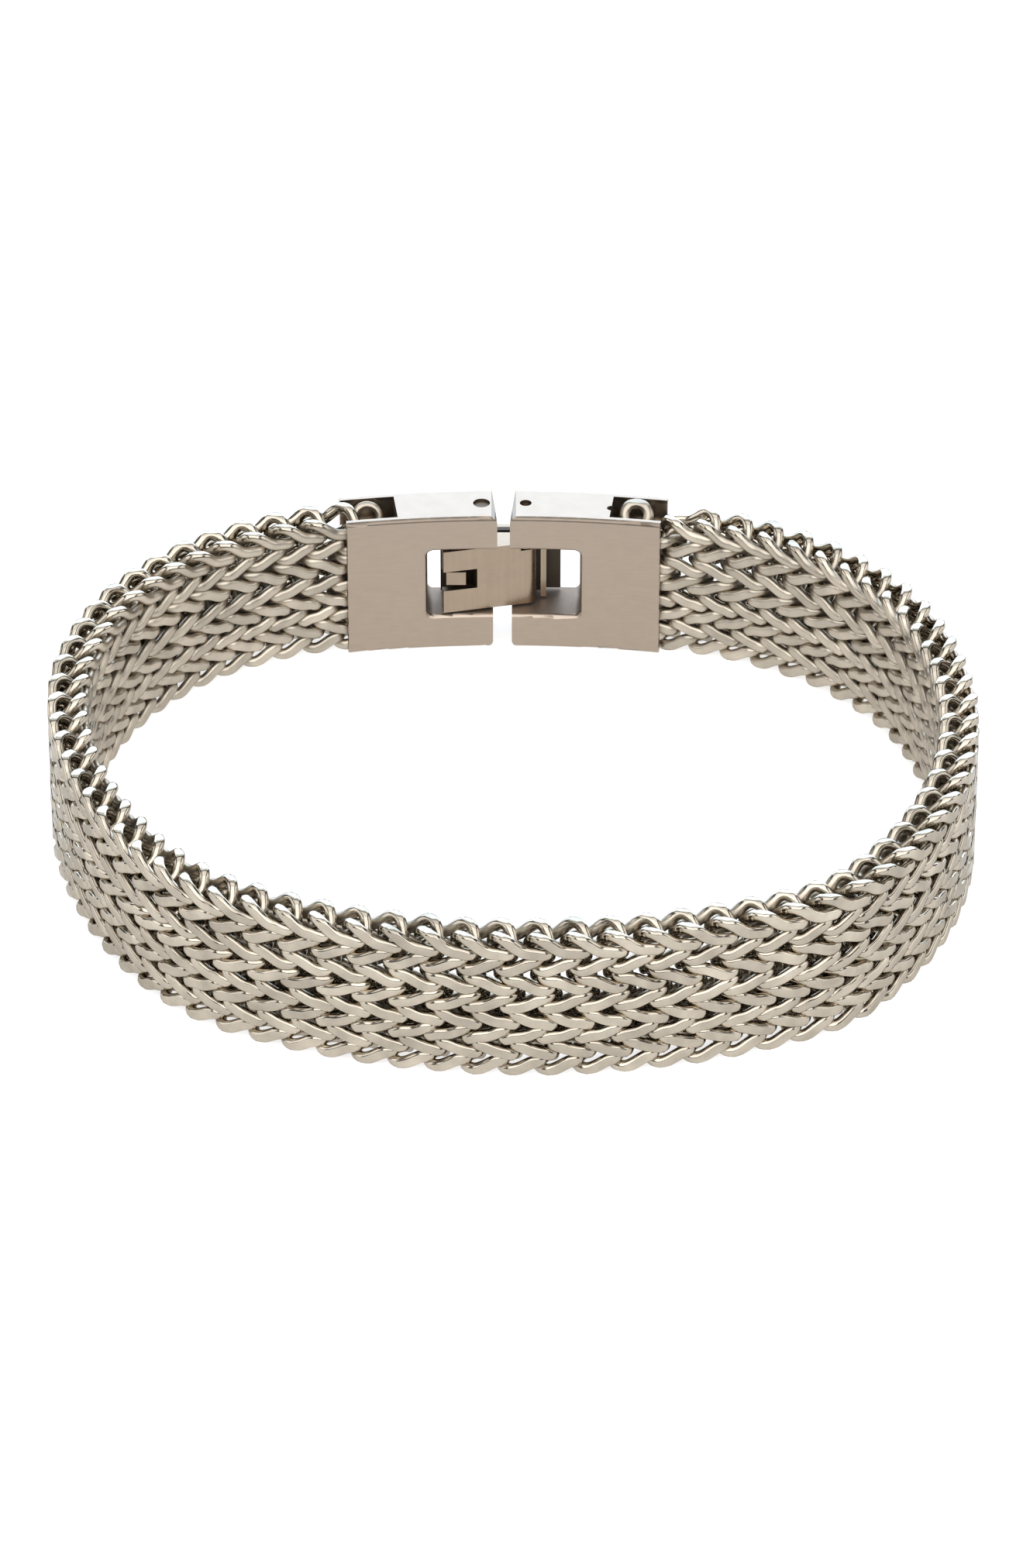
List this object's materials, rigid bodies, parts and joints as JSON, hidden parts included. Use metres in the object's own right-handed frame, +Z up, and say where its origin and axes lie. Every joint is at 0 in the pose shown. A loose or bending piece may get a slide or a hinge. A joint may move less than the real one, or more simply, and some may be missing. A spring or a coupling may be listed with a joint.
{
  "type": "chain bracelet",
  "caption": "Wide flat chain-mesh bracelet, closed into its wrist loop by a fold-over clasp with an inner and an outer lever, lying on its edge.",
  "frame": {"origin": "on the floor under the middle of the bracelet's bounding box; the loop lies in the XY plane on its lower edge", "axes": "+Z up along the band's width, +Y from the middle of the loop towards the clasp, +X to the right seen from the front of the band, opposite the clasp"},
  "size_m": [0.0708, 0.0636, 0.012],
  "materials": {
    "mesh_steel": "polished links with cut flats",
    "box_steel": "satin faces, polished edges",
    "lever_steel": "satin",
    "pin_steel": "drawn rod with cut ends"
  },
  "bodies": {
    "bracelet": {"mesh_band": "mesh_steel", "left_box": "box_steel", "right_box": "box_steel", "catch_bar": "pin_steel", "hinge_pin": "pin_steel", "left_end_pin": "pin_steel", "right_end_pin": "pin_steel"},
    "tongue": {"clasp_tongue": "lever_steel"},
    "cover": {"clasp_cover": "lever_steel"}
  },
  "joints": [
    {"name": "tongue_hinge", "type": "hinge", "parent": "bracelet", "child": "tongue", "pos_m": [0.00106, 0.02974, 0.006], "axis": [0, 0, 1], "range_deg": [0, 60]},
    {"name": "cover_hinge", "type": "hinge", "parent": "bracelet", "child": "cover", "pos_m": [0.00106, 0.02974, 0.006], "axis": [0, 0, -1], "range_deg": [0, 55]}
  ]
}
